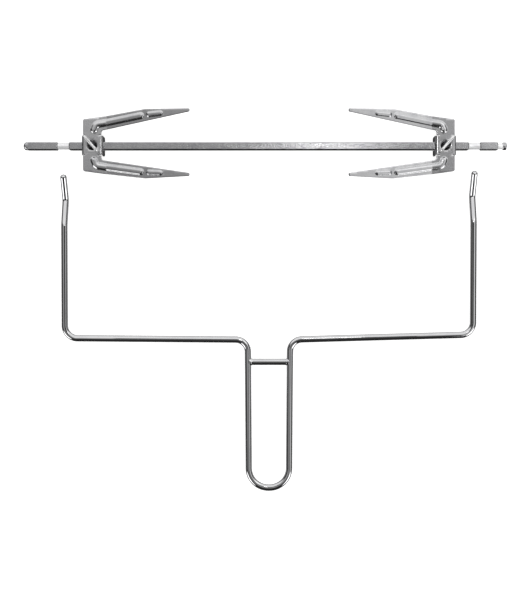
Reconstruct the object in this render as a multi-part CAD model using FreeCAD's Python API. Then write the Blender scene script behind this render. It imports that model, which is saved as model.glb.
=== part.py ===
import FreeCAD, Part
import math
import os

from FreeCAD import Vector

# Spit set of a countertop rotisserie oven, laid out flat on a table:
# a square spit rod, two sliding two-tine forks with thumb screws, and a bent-wire lifting handle.
#
# Units are millimetres.  +X runs along the rod, from the drive end to the button end being the
# plus side.  +Y runs from the handle's grip to the rod.  +Z is up.  The table is Z = 0, and X = 0,
# Y = 0 is the middle of the set's footprint.
#
# A fork is drawn in its own frame first: U (here X) from its outer edge to its tine tips, V (here Y)
# across it from the rod's axis, Z above the table.

# Spit rod
ROD_LENGTH = 380.0
ROD_SQUARE = 6.0
ROD_EDGE_ROUND = 0.5
ROD_AXIS_Y = 122.35
ROD_AXIS_Z = 5.5
ROD_CORNER_RADIUS = 4.4
NOSE_RADIUS = 3.2
NOSE_LENGTH = 2.4
NOSE_TAPER = 1.6
NECK_SPACING = 323.0
NECK_DIAMETER = 5.0
NECK_LENGTH = 10.2
NECK_CHAMFER = 0.8
BUTTON_DIAMETER = 6.0
BUTTON_LENGTH = 3.6
BUTTON_ROUND = 1.0
STEM_DIAMETER = 4.0
STEM_LENGTH = 3.6
SQUARE_END_CHAMFER = 0.6

# The forks, the necks and the handle share one middle, a little to the button side
KIT_MID_X = 3.0

# Forks
SHEET = 1.2
PLATE_TOP = 12.5
FORK_HALF_SPAN = 145.15
PLATE_LENGTH = 14.3
PLATE_HALF_WIDTH = 20.3
KNUCKLE = (48.4, 26.9)
TIP_U = 84.5
TIP_OUTER_V = 26.0
TIP_INNER_V = 23.5
CROTCH_V = 11.5
OUTER_CORNER_ROUND = 1.5
KNUCKLE_ROUND = 12.0
TIP_ROUND = 0.85
CROTCH_ROUND = 2.2
TINE_BEND_U = 17.5
TINE_BEND_RADIUS = 6.0
TINE_RISE_DEGREES = 13.5
MAIN_BEAD = ((8.6, 11.9), (10.4, 16.1), (45.0, 21.7))
MAIN_BEAD_WIDTH = 5.0
MAIN_BEAD_HEIGHT = 1.3
TIP_BEAD = ((51.8, 22.4), (61.0, 23.0))
TIP_BEAD_WIDTH = 4.0
TIP_BEAD_HEIGHT = 1.1
TAB_WIDTH = 15.0
TAB_INSET = 0.9
TAB_RELIEF_WIDTH = 0.4
TAB_RELIEF_DEPTH = 1.5
TAB_BEND_RADIUS = 2.0
TAB_CORNER_ROUND = 2.0
ROD_HOLE = 6.6
ROD_HOLE_ROUND = 0.6
SCREW_U = 7.2
SCREW_HOLE_DIAMETER = 8.0
SCREW_HOLE_RIM = 0.4

# Weld nuts under the fork plates
NUT_DIAMETER = 11.0
NUT_HEIGHT = 2.4
NUT_CHAMFER = 0.4
NUT_BORE_DIAMETER = 5.1

# Thumb screws, M5 with a flat spade head
SHANK_DIAMETER = 5.0
SHANK_TIP_Z = 8.7
SHANK_CHAMFER = 0.5
BLADE_BOTTOM_Z = 13.8
BLADE_TOP_Z = 23.2
BLADE_SHOULDER_Z = 17.0
BLADE_NOTCH_DEPTH = 1.0
BLADE_FOOT_HALF_WIDTH = 3.0
BLADE_HALF_WIDTH = 8.5
BLADE_THICKNESS = 2.0
BLADE_EDGE_ROUND = 0.5
LEFT_BLADE_DEGREES = -48.4
RIGHT_BLADE_DEGREES = 49.2

# Lifting handle, one bent wire and a welded crossbar, drawn flat and then tilted on to the table
WIRE_DIAMETER = 5.0
ARM_HALF_SPAN = 160.6
ARM_SKEW = 1.4
TIP_Y = 100.6
TIP_RISE = 3.4
CRADLE_Y = 81.7
CRADLE_DEPTH = 6.3
CRADLE_ROUND = 5.0
DIP_START_Y = 61.6
DIP_ROUND = 12.0
CORNER_Y = -27.2
CORNER_ROUND = 10.0
SHOULDER_Y = -29.8
SHOULDER_ROUND = 9.5
SHOULDER_HALF_SPAN = 16.65
GRIP_END_Y = -146.8
GRIP_END_HALF_SPAN = 15.8
GRIP_END_ROUND = 15.5
WIRE_END_ROUND = 2.0
CROSSBAR_Y = -47.3

SIDES = {"left": -1, "right": 1}
X_AXIS = Vector(1, 0, 0)
Y_AXIS = Vector(0, 1, 0)
Z_AXIS = Vector(0, 0, 1)


def unit(vector):
    return vector * (1.0 / vector.Length)


def corner_arc(before, corner, after, radius):
    """Centre, middle and the two tangent points of the arc that rounds a corner."""
    back = unit(before - corner)
    ahead = unit(after - corner)
    half = back.getAngle(ahead) / 2.0
    middle_way = unit(back + ahead)
    reach = radius / math.tan(half)
    centre = corner + middle_way * (radius / math.sin(half))
    return centre, centre - middle_way * radius, corner + back * reach, corner + ahead * reach


def add_run(edges, start, end):
    """Add a straight run, unless the two arcs beside it already meet."""
    if (end - start).Length > 1e-6:
        edges.append(Part.LineSegment(start, end).toShape())


def open_path(points, radii):
    """Straight runs joined by tangent arcs.  There is a radius for each point between the ends."""
    edges = []
    here = points[0]
    for index, radius in enumerate(radii, start=1):
        before, corner, after = points[index - 1:index + 2]
        _, middle, start, end = corner_arc(before, corner, after, radius)
        add_run(edges, here, start)
        edges.append(Part.Arc(start, middle, end).toShape())
        here = end
    add_run(edges, here, points[-1])
    return Part.Wire(edges)


def closed_outline(points, radii):
    """A closed outline with every corner rounded, as a face."""
    half_way = (points[0] + points[-1]) * 0.5
    return Part.Face(open_path([half_way] + points + [half_way], radii))


def turned(profile, axis_y, axis_z):
    """A solid of revolution about a line along X, from (x, radius) pairs that start on the line."""
    points = [Vector(x, axis_y, axis_z + radius) for x, radius in profile]
    outline = Part.makePolygon(points + [points[0]])
    return Part.Face(outline).revolve(Vector(0, axis_y, axis_z), X_AXIS, 360)


def rounded_bar(start_x, end_x, side, edge_round):
    """A square bar along X, centred on the line Y = 0, Z = 0."""
    bar = Part.makeBox(end_x - start_x, side, side, Vector(start_x, -side / 2, -side / 2))
    long_edges = [edge for edge in bar.Edges if abs(edge.tangentAt(edge.FirstParameter).x) > 0.9]
    return bar.makeFillet(edge_round, long_edges)


def rod_envelope(square_end_x):
    """The turned outline that cuts the nose and the two necks into the square bar."""
    start = -ROD_LENGTH / 2
    neck_radius = NECK_DIAMETER / 2
    profile = [(start, 0.0)]
    for step in range(1, 7):
        angle = math.radians(15 * step)
        along = NOSE_LENGTH * (1.0 - math.cos(angle))
        profile.append((start + along, NOSE_RADIUS * math.sin(angle)))
    profile.append((start + NOSE_LENGTH + NOSE_TAPER, ROD_CORNER_RADIUS))
    for side in SIDES.values():
        middle = KIT_MID_X + side * NECK_SPACING / 2
        outer = NECK_LENGTH / 2
        inner = outer - NECK_CHAMFER
        profile.append((middle - outer, ROD_CORNER_RADIUS))
        profile.append((middle - inner, neck_radius))
        profile.append((middle + inner, neck_radius))
        profile.append((middle + outer, ROD_CORNER_RADIUS))
    profile.append((square_end_x - SQUARE_END_CHAMFER, ROD_CORNER_RADIUS))
    profile.append((square_end_x, ROD_SQUARE / 2))
    profile.append((square_end_x, 0.0))
    return turned(profile, 0, 0)


def rod_button(square_end_x):
    """The thin stem and the round button beyond the square."""
    end = ROD_LENGTH / 2
    stem_radius = STEM_DIAMETER / 2
    button_radius = BUTTON_DIAMETER / 2
    root = square_end_x - 1.0
    button_start = end - BUTTON_LENGTH
    stem_length = button_start - root
    stem = Part.makeCylinder(stem_radius, stem_length + 1.0, Vector(root, 0, 0), X_AXIS)
    button = Part.makeCylinder(button_radius, BUTTON_LENGTH, Vector(button_start, 0, 0), X_AXIS)
    rims = [edge for edge in button.Edges if edge.Closed]
    return stem.fuse(button.makeFillet(BUTTON_ROUND, rims))


def spit_rod():
    square_end_x = ROD_LENGTH / 2 - BUTTON_LENGTH - STEM_LENGTH
    bar = rounded_bar(-ROD_LENGTH / 2, square_end_x, ROD_SQUARE, ROD_EDGE_ROUND)
    rod = bar.common(rod_envelope(square_end_x)).fuse(rod_button(square_end_x)).removeSplitter()
    rod.translate(Vector(0, ROD_AXIS_Y, ROD_AXIS_Z))
    return rod


def fork_outline():
    """The fork's flat blank, seen from above."""
    half = [
        (Vector(0, PLATE_HALF_WIDTH), OUTER_CORNER_ROUND),
        (Vector(*KNUCKLE), KNUCKLE_ROUND),
        (Vector(TIP_U, TIP_OUTER_V), TIP_ROUND),
        (Vector(TIP_U, TIP_INNER_V), TIP_ROUND),
        (Vector(PLATE_LENGTH, CROTCH_V), CROTCH_ROUND),
    ]
    other_half = [(Vector(point.x, -point.y), radius) for point, radius in reversed(half)]
    corners = half + other_half
    return closed_outline([point for point, _ in corners], [radius for _, radius in corners])


def capsule_chain(points, height, radius):
    """Round-ended tubes in a row, along the given U, V points."""
    centres = [Vector(u, v, height) for u, v in points]
    balls = [Part.makeSphere(radius, centre) for centre in centres]
    tubes = []
    for start, end in zip(centres, centres[1:]):
        tubes.append(Part.makeCylinder(radius, (end - start).Length, start, end - start))
    return balls[0].fuse(balls[1:] + tubes)


def tab_slot():
    """The room for a tab in the plate's edge: its own width back to the fold, and a relief each side."""
    half = TAB_WIDTH / 2
    low = PLATE_TOP - SHEET - 1
    slot = Part.makeBox(TAB_INSET + 5, TAB_WIDTH, 5, Vector(-5, -half, low))
    for start_v in (-half - TAB_RELIEF_WIDTH, half):
        relief = Part.makeBox(TAB_RELIEF_DEPTH + 5, TAB_RELIEF_WIDTH, 5, Vector(-5, start_v, low))
        slot = slot.fuse(relief)
    return slot


def press_bead(blank, points, width, height):
    """Emboss one raised bead, and the groove under it, into the flat sheet."""
    outer_radius = (width * width / 4 + height * height) / (2 * height)
    axis_z = PLATE_TOP + height - outer_radius
    ridge = capsule_chain(points, axis_z, outer_radius)
    above_sheet = Part.makeBox(120, 80, 10, Vector(-10, -40, PLATE_TOP - SHEET / 2))
    groove = capsule_chain(points, axis_z, outer_radius - SHEET)
    return blank.fuse(ridge.common(above_sheet)).cut(groove)


def pressed_blank():
    """The flat sheet with its screw hole and its four beads."""
    sheet = fork_outline().extrude(Z_AXIS * SHEET)
    sheet.translate(Z_AXIS * (PLATE_TOP - SHEET))
    inner_slot = tab_slot().mirror(Vector(PLATE_LENGTH / 2, 0, 0), X_AXIS)
    sheet = sheet.cut([tab_slot(), inner_slot])
    hole_radius = SCREW_HOLE_DIAMETER / 2
    sheet = sheet.cut(Part.makeCylinder(hole_radius, 20, Vector(SCREW_U, 0, 0)))
    rims = [edge for edge in sheet.Edges if edge.Closed and edge.CenterOfMass.z > PLATE_TOP - 0.1]
    sheet = sheet.makeFillet(SCREW_HOLE_RIM, rims)
    for side in SIDES.values():
        main = [(u, side * v) for u, v in MAIN_BEAD]
        tip = [(u, side * v) for u, v in TIP_BEAD]
        sheet = press_bead(sheet, main, MAIN_BEAD_WIDTH, MAIN_BEAD_HEIGHT)
        sheet = press_bead(sheet, tip, TIP_BEAD_WIDTH, TIP_BEAD_HEIGHT)
    return sheet


def raise_tines(sheet):
    """Bend both tines up from the plate, about one line across the fork."""
    room = 200.0
    pivot = Vector(TINE_BEND_U, 0, PLATE_TOP + TINE_BEND_RADIUS)
    tine_side = Part.makeBox(room, room, room, Vector(TINE_BEND_U, -room / 2, -room / 2))
    plate = sheet.cut(tine_side)
    tines = sheet.common(tine_side)
    sections = [face for face in tines.Faces if abs(face.CenterOfMass.x - TINE_BEND_U) < 1e-6]
    knees = [face.revolve(pivot, -Y_AXIS, TINE_RISE_DEGREES) for face in sections]
    tines.rotate(pivot, -Y_AXIS, TINE_RISE_DEGREES)
    return plate.fuse(knees + tines.Solids)


def fork_tab():
    """The tab that turns down at the plate's outer edge."""
    inner = TAB_BEND_RADIUS - SHEET
    drop_z = PLATE_TOP - TAB_BEND_RADIUS
    slant = math.sqrt(0.5)
    start_v = -TAB_WIDTH / 2

    def spot(u, z):
        return Vector(u, start_v, z)

    edges = [
        Part.Arc(
            spot(0, PLATE_TOP),
            spot(-TAB_BEND_RADIUS * slant, drop_z + TAB_BEND_RADIUS * slant),
            spot(-TAB_BEND_RADIUS, drop_z),
        ).toShape(),
        Part.LineSegment(spot(-TAB_BEND_RADIUS, drop_z), spot(-TAB_BEND_RADIUS, 0)).toShape(),
        Part.LineSegment(spot(-TAB_BEND_RADIUS, 0), spot(-inner, 0)).toShape(),
        Part.LineSegment(spot(-inner, 0), spot(-inner, drop_z)).toShape(),
        Part.Arc(
            spot(-inner, drop_z),
            spot(-inner * slant, drop_z + inner * slant),
            spot(0, PLATE_TOP - SHEET),
        ).toShape(),
        Part.LineSegment(spot(0, PLATE_TOP - SHEET), spot(0, PLATE_TOP)).toShape(),
    ]
    tab = Part.Face(Part.Wire(edges)).extrude(Y_AXIS * TAB_WIDTH)
    tab.translate(X_AXIS * TAB_INSET)
    feet = [
        edge for edge in tab.Edges
        if edge.BoundBox.ZMax < 0.1 and edge.BoundBox.YLength < 0.1
    ]
    return tab.makeFillet(TAB_CORNER_ROUND, feet)


def fork():
    """One stamped fork, in its own frame."""
    outer_tab = fork_tab()
    inner_tab = fork_tab().mirror(Vector(PLATE_LENGTH / 2, 0, 0), X_AXIS)
    rod_hole = rounded_bar(-10, PLATE_LENGTH + 10, ROD_HOLE, ROD_HOLE_ROUND)
    rod_hole.translate(Z_AXIS * ROD_AXIS_Z)
    return raise_tines(pressed_blank()).fuse([outer_tab, inner_tab]).cut(rod_hole).removeSplitter()


def weld_nut():
    """The round nut under the plate, in the fork's frame."""
    bottom = PLATE_TOP - SHEET - NUT_HEIGHT
    body = Part.makeCylinder(NUT_DIAMETER / 2, NUT_HEIGHT, Vector(SCREW_U, 0, bottom))
    rims = [edge for edge in body.Edges if edge.Closed and edge.CenterOfMass.z < bottom + 0.1]
    body = body.makeChamfer(NUT_CHAMFER, rims)
    return body.cut(Part.makeCylinder(NUT_BORE_DIAMETER / 2, 20, Vector(SCREW_U, 0, 0)))


def spade_blade():
    """The flat head, standing on the screw's axis with its width along X."""
    half = [
        (Vector(BLADE_FOOT_HALF_WIDTH, 0, BLADE_BOTTOM_Z), 1.0),
        (Vector(BLADE_HALF_WIDTH, 0, BLADE_SHOULDER_Z), 3.0),
        (Vector(BLADE_HALF_WIDTH, 0, BLADE_TOP_Z), 3.0),
    ]
    notch = [(Vector(0, 0, BLADE_TOP_Z - BLADE_NOTCH_DEPTH), 12.0)]
    other_half = [(Vector(-point.x, 0, point.z), radius) for point, radius in reversed(half)]
    corners = half + notch + other_half
    outline = closed_outline([point for point, _ in corners], [radius for _, radius in corners])
    blade = outline.extrude(Y_AXIS * BLADE_THICKNESS)
    blade.translate(-Y_AXIS * (BLADE_THICKNESS / 2))
    edges = [edge for edge in blade.Edges if edge.BoundBox.YLength < 0.1]
    return blade.makeFillet(BLADE_EDGE_ROUND, edges)


def thumb_screw(blade_degrees):
    """A thumb screw standing on the origin of X and Y."""
    length = BLADE_BOTTOM_Z + 1.5 - SHANK_TIP_Z
    shank = Part.makeCylinder(SHANK_DIAMETER / 2, length, Vector(0, 0, SHANK_TIP_Z))
    rims = [edge for edge in shank.Edges if edge.Closed and edge.CenterOfMass.z < SHANK_TIP_Z + 0.1]
    screw = shank.makeChamfer(SHANK_CHAMFER, rims).fuse(spade_blade()).removeSplitter()
    screw.rotate(Vector(0, 0, 0), Z_AXIS, blade_degrees)
    return screw


def on_rod(shape, side):
    """Move a fork-frame shape to its place on the rod.  The right one is turned half round."""
    placed = shape.copy()
    if side > 0:
        placed.rotate(Vector(0, 0, 0), Z_AXIS, 180)
    placed.translate(Vector(KIT_MID_X + side * FORK_HALF_SPAN, ROD_AXIS_Y, 0))
    return placed


def arm_points(side):
    """One arm of the flat handle, from its tip to its shoulder, as corners and rounding radii."""
    arm_x = KIT_MID_X + side * ARM_HALF_SPAN
    skew = side * ARM_SKEW
    corners = [
        Vector(arm_x, TIP_Y + skew, TIP_RISE),
        Vector(arm_x, CRADLE_Y + skew, -CRADLE_DEPTH),
        Vector(arm_x, DIP_START_Y + skew, 0),
        Vector(arm_x, CORNER_Y + skew, 0),
        Vector(KIT_MID_X + side * SHOULDER_HALF_SPAN, SHOULDER_Y, 0),
        Vector(KIT_MID_X + side * GRIP_END_HALF_SPAN, GRIP_END_Y, 0),
    ]
    radii = [CRADLE_ROUND, DIP_ROUND, CORNER_ROUND, SHOULDER_ROUND, GRIP_END_ROUND]
    return corners, radii


def handle_tilt():
    """The angle at which the grip's end and the lower cradle both rest on the table, in radians."""
    corners, _ = arm_points(SIDES["left"])
    centre, _, _, _ = corner_arc(*corners[:3], CRADLE_ROUND)
    along = centre.y - GRIP_END_Y
    return math.asin(CRADLE_ROUND / math.hypot(along, centre.z)) - math.atan2(centre.z, along)


def lay_down(shape):
    """Tilt the flat handle about its grip's end, and lift it by the wire's radius."""
    shape.rotate(Vector(0, GRIP_END_Y, 0), X_AXIS, math.degrees(handle_tilt()))
    shape.translate(Z_AXIS * (WIRE_DIAMETER / 2))
    return shape


def flat_wire():
    """The handle's one continuous wire, before it is tilted."""
    left_corners, left_radii = arm_points(SIDES["left"])
    right_corners, right_radii = arm_points(SIDES["right"])
    path = open_path(left_corners + right_corners[::-1], left_radii + right_radii[::-1])
    start = left_corners[0]
    section = Part.makeCircle(WIRE_DIAMETER / 2, start, left_corners[1] - start)
    wire = path.makePipeShell([Part.Wire(section)], True, False)
    expected = path.Length * math.pi * WIRE_DIAMETER ** 2 / 4
    print("wire length", round(path.Length, 1), "volume over expected", round(wire.Volume / expected, 4))
    ends = [
        edge for edge in wire.Edges
        if edge.Closed and min((edge.CenterOfMass - corners[0]).Length
                               for corners in (left_corners, right_corners)) < 0.1
    ]
    return wire.makeFillet(WIRE_END_ROUND, ends)


def flat_crossbar(wire):
    """The straight bar between the grip's legs, its ends coped to the wire."""
    bar = Part.makeCylinder(
        WIRE_DIAMETER / 2,
        2 * GRIP_END_HALF_SPAN,
        Vector(KIT_MID_X - GRIP_END_HALF_SPAN, CROSSBAR_Y, 0),
        X_AXIS,
    )
    return bar.cut(wire)


def make_parts():
    """Every sub-part of the set, by name."""
    parts = {"spit_rod": spit_rod()}
    fork_shape = fork()
    nut_shape = weld_nut()
    blade_angles = {"left": LEFT_BLADE_DEGREES, "right": RIGHT_BLADE_DEGREES}
    for name, side in SIDES.items():
        parts[name + "_fork"] = on_rod(fork_shape, side)
        parts[name + "_weld_nut"] = on_rod(nut_shape, side)
        screw = thumb_screw(blade_angles[name])
        screw.translate(Vector(KIT_MID_X + side * (FORK_HALF_SPAN - SCREW_U), ROD_AXIS_Y, 0))
        parts[name + "_thumb_screw"] = screw
    wire = flat_wire()
    crossbar = flat_crossbar(wire)
    parts["lifter_wire"] = lay_down(wire)
    parts["lifter_crossbar"] = lay_down(crossbar)
    return parts


def main():
    os.makedirs("parts", exist_ok=True)
    for name, shape in make_parts().items():
        solid = shape.Solids[0]
        box = solid.BoundBox
        print(name, len(shape.Solids), solid.isValid(), round(solid.Volume, 1),
              [round(v, 2) for v in (box.XMin, box.YMin, box.ZMin, box.XMax, box.YMax, box.ZMax)])
        solid.exportStep("parts/" + name + ".step")


main()
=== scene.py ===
"""Looks of a countertop oven's rotisserie spit set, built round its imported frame.

The set is a square spit rod, two pressed forks that slide on it, each with a weld nut and a thumb
screw, and a lifting handle bent from one wire. Sizes in the classes are millimetres in the frame's
axes: +X along the rod, +Y from the handle's grip to the rod, +Z up. Meshes are scaled to metres
when they become pieces.
"""

from __future__ import annotations

import logging
import math
import sys
from dataclasses import dataclass, field
from enum import Enum
from typing import Callable

import bmesh
import bpy
import numpy as np
from mathutils import Matrix, Quaternion, Vector
from mathutils.geometry import delaunay_2d_cdt

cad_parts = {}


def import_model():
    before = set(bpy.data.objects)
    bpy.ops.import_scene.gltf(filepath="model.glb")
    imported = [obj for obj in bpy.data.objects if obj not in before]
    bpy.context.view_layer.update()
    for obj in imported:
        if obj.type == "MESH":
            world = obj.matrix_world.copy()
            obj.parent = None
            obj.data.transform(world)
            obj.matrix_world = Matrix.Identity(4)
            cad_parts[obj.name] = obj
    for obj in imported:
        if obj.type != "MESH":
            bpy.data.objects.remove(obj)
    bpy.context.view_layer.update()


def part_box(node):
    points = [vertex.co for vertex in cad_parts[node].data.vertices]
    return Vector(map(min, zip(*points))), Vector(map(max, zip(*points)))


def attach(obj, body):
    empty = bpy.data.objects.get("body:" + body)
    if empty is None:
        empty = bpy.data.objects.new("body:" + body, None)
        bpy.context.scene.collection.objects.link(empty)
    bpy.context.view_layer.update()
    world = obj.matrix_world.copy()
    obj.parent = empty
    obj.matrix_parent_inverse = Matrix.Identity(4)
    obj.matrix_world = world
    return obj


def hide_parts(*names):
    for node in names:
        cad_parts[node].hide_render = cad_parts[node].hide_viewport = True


MM = 0.001
LOG = logging.getLogger("spit_set")

Array = np.ndarray
Socket = bpy.types.NodeSocket
Pair = tuple[float, float]
Triple = tuple[float, float, float]
Surface = Callable[[Array, Array], Array]
Fold = Callable[[Array, Array, Array], Array]


class Side(Enum):
    """Which end of the rod a fork stands at."""

    LEFT = -1
    RIGHT = 1

    @property
    def label(self) -> str:
        """The side's word in node and body names."""
        return self.name.lower()


class SheetBack(Enum):
    """How the under face of a plate follows its upper face."""

    PRESSED = "the same relief, one thickness below"
    COINED = "a mirror image of the upper face"


# ---- Finishes ----


def preset(node: bpy.types.Node, **values: object) -> None:
    """Set a node's inputs. An underscore stands for a space in an input's name."""
    for name, value in values.items():
        node.inputs[name.replace("_", " ")].default_value = value


@dataclass
class ShaderSheet:
    """A node tree, with short ways to add and join nodes."""

    tree: bpy.types.NodeTree

    def node(self, kind: str, **settings: object) -> bpy.types.Node:
        """Add a node.

        Args:
            kind: The node's type name.
            **settings: Properties to set on the node.

        Returns:
            The new node.
        """
        made = self.tree.nodes.new(kind)
        for name, value in settings.items():
            setattr(made, name, value)
        return made

    def join(self, start: Socket, end: Socket) -> None:
        """Link an output socket to an input socket."""
        self.tree.links.new(start, end)

    def noise(self, scale: Triple, detail: float, seed: float) -> Socket:
        """Add fractal noise over the object's own coordinates.

        Args:
            scale: Features per metre along each axis.
            detail: The noise's octaves.
            seed: A shift that keeps one noise apart from another.

        Returns:
            The noise's value, from 0 to 1.
        """
        place = self.node("ShaderNodeTexCoord").outputs["Object"]
        stretch = self.node("ShaderNodeMapping")
        preset(stretch, Scale=scale, Location=(seed, -seed, 2.0 * seed))
        grain = self.node("ShaderNodeTexNoise")
        preset(grain, Scale=1.0, Detail=detail, Roughness=0.6)
        self.join(place, stretch.inputs["Vector"])
        self.join(stretch.outputs["Vector"], grain.inputs["Vector"])
        return grain.outputs["Fac"]

    def span(self, value: Socket, source: Pair, target: Pair = (0.0, 1.0), **settings: object) -> Socket:
        """Map a value from one range to another, clamped.

        Args:
            value: The value to map.
            source: The range it comes from.
            target: The range it goes to.
            **settings: Further properties of the node.

        Returns:
            The mapped value.
        """
        mapped = self.node("ShaderNodeMapRange", clamp=True, **settings)
        self.join(value, mapped.inputs["Value"])
        preset(mapped, From_Min=source[0], From_Max=source[1], To_Min=target[0], To_Max=target[1])
        return mapped.outputs["Result"]

    def tint(self, share: Socket, first: Socket | Triple, second: Triple) -> Socket:
        """Blend from one colour to another.

        Args:
            share: How much of the second colour shows.
            first: The first colour, or a socket that gives it.
            second: The second colour.

        Returns:
            The blended colour.
        """
        blend = self.node("ShaderNodeMix", data_type="RGBA")
        colours = [socket for socket in blend.inputs if socket.type == "RGBA"]
        self.join(share, blend.inputs["Factor"])
        if isinstance(first, tuple):
            colours[0].default_value = (*first, 1.0)
        else:
            self.join(first, colours[0])
        colours[1].default_value = (*second, 1.0)
        return [socket for socket in blend.outputs if socket.type == "RGBA"][0]


def blank_material(name: str) -> tuple[bpy.types.Material, ShaderSheet, bpy.types.Node]:
    """Make a node material.

    Args:
        name: The material's name.

    Returns:
        The material, the sheet of its nodes, and its surface node.
    """
    made = bpy.data.materials.new(name)
    made.use_nodes = True
    return made, ShaderSheet(made.node_tree), made.node_tree.nodes["Principled BSDF"]


@dataclass(frozen=True)
class PlatedSteel:
    """A plated steel finish: drawn or rolled grain, cloudy patches, small pits and rubbed edges."""

    name: str
    slot: str
    colour: Triple  # clean plating's reflectance
    shade: Triple  # reflectance where it is cloudy
    rubbed: Triple  # reflectance along worn edges
    roughness: Pair  # lowest and highest
    grain: Triple  # lines per metre along each axis
    grain_depth: float  # mm
    patches: float  # cloudy patches per metre
    pit_depth: float  # mm
    pits: float  # per metre
    seed: float  # keeps its noises apart from others
    metallic: float = 1.0  # below 1, part of the light scatters widely

    def material(self) -> bpy.types.Material:
        """Make the node material, once per name.

        Returns:
            The material.
        """
        known = bpy.data.materials.get(self.name)
        if known is not None:
            return known
        made, sheet, surface = blank_material(self.name)
        preset(surface, Metallic=self.metallic)
        grain = sheet.noise(self.grain, 3.0, self.seed)
        patches = sheet.noise((self.patches,) * 3, 4.0, self.seed + 7.0)
        pits = sheet.noise((self.pits,) * 3, 2.0, self.seed + 13.0)
        clouded = sheet.tint(sheet.span(patches, (0.42, 0.68)), self.colour, self.shade)
        wear = sheet.node("ShaderNodeNewGeometry").outputs["Pointiness"]
        worn = sheet.tint(sheet.span(wear, (0.52, 0.60), (0.0, 0.8)), clouded, self.rubbed)
        sheet.join(worn, surface.inputs["Base Color"])
        mottle = sheet.node("ShaderNodeMath", operation="MULTIPLY_ADD")
        sheet.join(grain, mottle.inputs[0])
        mottle.inputs[1].default_value = 0.6
        sheet.join(sheet.span(patches, (0.3, 0.7), (0.0, 0.4)), mottle.inputs[2])
        sheet.join(sheet.span(mottle.outputs[0], (0.25, 0.75), self.roughness), surface.inputs["Roughness"])
        sheet.join(self.bump(sheet, grain, pits), surface.inputs["Normal"])
        return made

    def bump(self, sheet: ShaderSheet, grain: Socket, pits: Socket) -> Socket:
        """Stack the grain's bump on the pits' bump.

        Args:
            sheet: The node tree to draw in.
            grain: The grain's value.
            pits: The pits' value.

        Returns:
            The bumped normal.
        """
        lines = sheet.node("ShaderNodeBump")
        preset(lines, Distance=self.grain_depth * MM)
        sheet.join(grain, lines.inputs["Height"])
        dots = sheet.node("ShaderNodeBump")
        preset(dots, Distance=self.pit_depth * MM)
        sheet.join(sheet.span(pits, (0.35, 0.6)), dots.inputs["Height"])
        sheet.join(lines.outputs["Normal"], dots.inputs["Normal"])
        return dots.outputs["Normal"]


ROD_NICKEL = PlatedSteel(
    name="rod_satin_nickel", slot="rod_steel", colour=(0.62, 0.62, 0.63), shade=(0.53, 0.53, 0.55),
    rubbed=(0.80, 0.80, 0.81), roughness=(0.10, 0.19), grain=(90.0, 2600.0, 2600.0), grain_depth=0.012,
    patches=160.0, pit_depth=0.018, pits=2400.0, seed=3.0,
)
NECK_POLISH = PlatedSteel(
    name="neck_turned_polish", slot="rod_steel", colour=(0.86, 0.86, 0.87), shade=(0.80, 0.80, 0.81),
    rubbed=(0.92, 0.92, 0.92), roughness=(0.05, 0.13), grain=(5200.0, 300.0, 300.0), grain_depth=0.002,
    patches=300.0, pit_depth=0.001, pits=2600.0, seed=5.0, metallic=0.45,
)
FORK_NICKEL = PlatedSteel(
    name="fork_bright_nickel", slot="fork_steel", colour=(0.76, 0.76, 0.77), shade=(0.68, 0.68, 0.70),
    rubbed=(0.90, 0.90, 0.91), roughness=(0.10, 0.22), grain=(260.0, 1900.0, 1900.0),
    grain_depth=0.004, patches=120.0, pit_depth=0.006, pits=1500.0, seed=11.0,
)
# The nut's near-black colour is painted shade: the dark ring of shadow inside the plate's hole round the
# screw.
NUT_PAINTED_SHADE = PlatedSteel(
    name="nut_painted_shade", slot="nut_steel", colour=(0.13, 0.13, 0.14), shade=(0.08, 0.08, 0.08),
    rubbed=(0.66, 0.66, 0.66), roughness=(0.30, 0.52), grain=(900.0, 900.0, 4200.0), grain_depth=0.008,
    patches=400.0, pit_depth=0.010, pits=3200.0, seed=23.0,
)
SCREW_NICKEL = PlatedSteel(
    name="screw_bright_nickel", slot="screw_steel", colour=(0.88, 0.88, 0.88),
    shade=(0.74, 0.74, 0.75), rubbed=(0.90, 0.90, 0.90), roughness=(0.12, 0.26),
    grain=(700.0, 700.0, 2400.0), grain_depth=0.004, patches=300.0, pit_depth=0.006, pits=2600.0,
    seed=31.0, metallic=0.72,
)
# Near-black painted shade for the screw's thread and root: the shadow inside the plate's hole round the
# screw.
SHANK_PAINTED_SHADE = PlatedSteel(
    name="shank_painted_shade", slot="screw_steel", colour=(0.09, 0.09, 0.10), shade=(0.05, 0.05, 0.05),
    rubbed=(0.40, 0.40, 0.40), roughness=(0.26, 0.44), grain=(800.0, 800.0, 3000.0), grain_depth=0.006,
    patches=380.0, pit_depth=0.008, pits=3000.0, seed=37.0,
)
WIRE_CHROME = PlatedSteel(
    name="wire_mirror_chrome", slot="wire_chrome", colour=(0.84, 0.84, 0.85), shade=(0.76, 0.76, 0.78),
    rubbed=(0.90, 0.90, 0.91), roughness=(0.02, 0.07), grain=(220.0, 220.0, 900.0), grain_depth=0.0007,
    patches=60.0, pit_depth=0.0008, pits=1600.0, seed=43.0,
)


# ---- Paths and meshes ----


def add_run(points: list[Vector], end: Vector, step: float) -> None:
    """Add evenly spaced points from the last one to an end point.

    Args:
        points: The path so far, which grows.
        end: Where the run ends.
        step: The longest distance between points.
    """
    start = points[-1]
    length = (end - start).length
    if length < 1e-6:
        return
    count = max(1, math.ceil(length / step))
    points.extend(start.lerp(end, index / count) for index in range(1, count + 1))


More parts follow.
